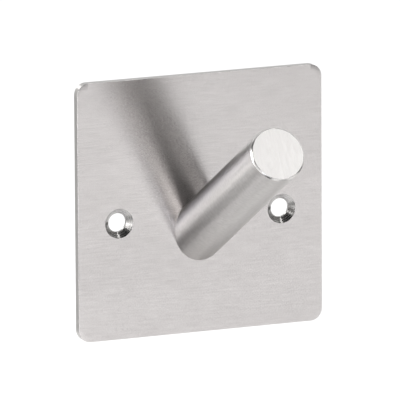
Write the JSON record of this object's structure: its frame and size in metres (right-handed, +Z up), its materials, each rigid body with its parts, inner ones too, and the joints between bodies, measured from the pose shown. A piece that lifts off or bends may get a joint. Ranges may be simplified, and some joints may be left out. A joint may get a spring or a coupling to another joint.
{
  "type": "wall hook",
  "caption": "Square brushed steel wall plate with a round peg slanting up and out, screwed to a wall through countersunk holes to hang coats, towels or bags.",
  "frame": {"origin": "centre of the plate's back face, on the wall plane", "axes": "+Y into the wall, -Y out of the wall to the front, +Z up, +X to the right seen from the front"},
  "size_m": [0.06, 0.0505, 0.06],
  "materials": {
    "brushed_plate": "brushed, with fine level lines",
    "satin_bar": "satin",
    "ground_weld": "ground flush"
  },
  "bodies": {
    "root": {"back_plate": "brushed_plate", "peg": "satin_bar", "plug_weld": "ground_weld"}
  },
  "joints": []
}
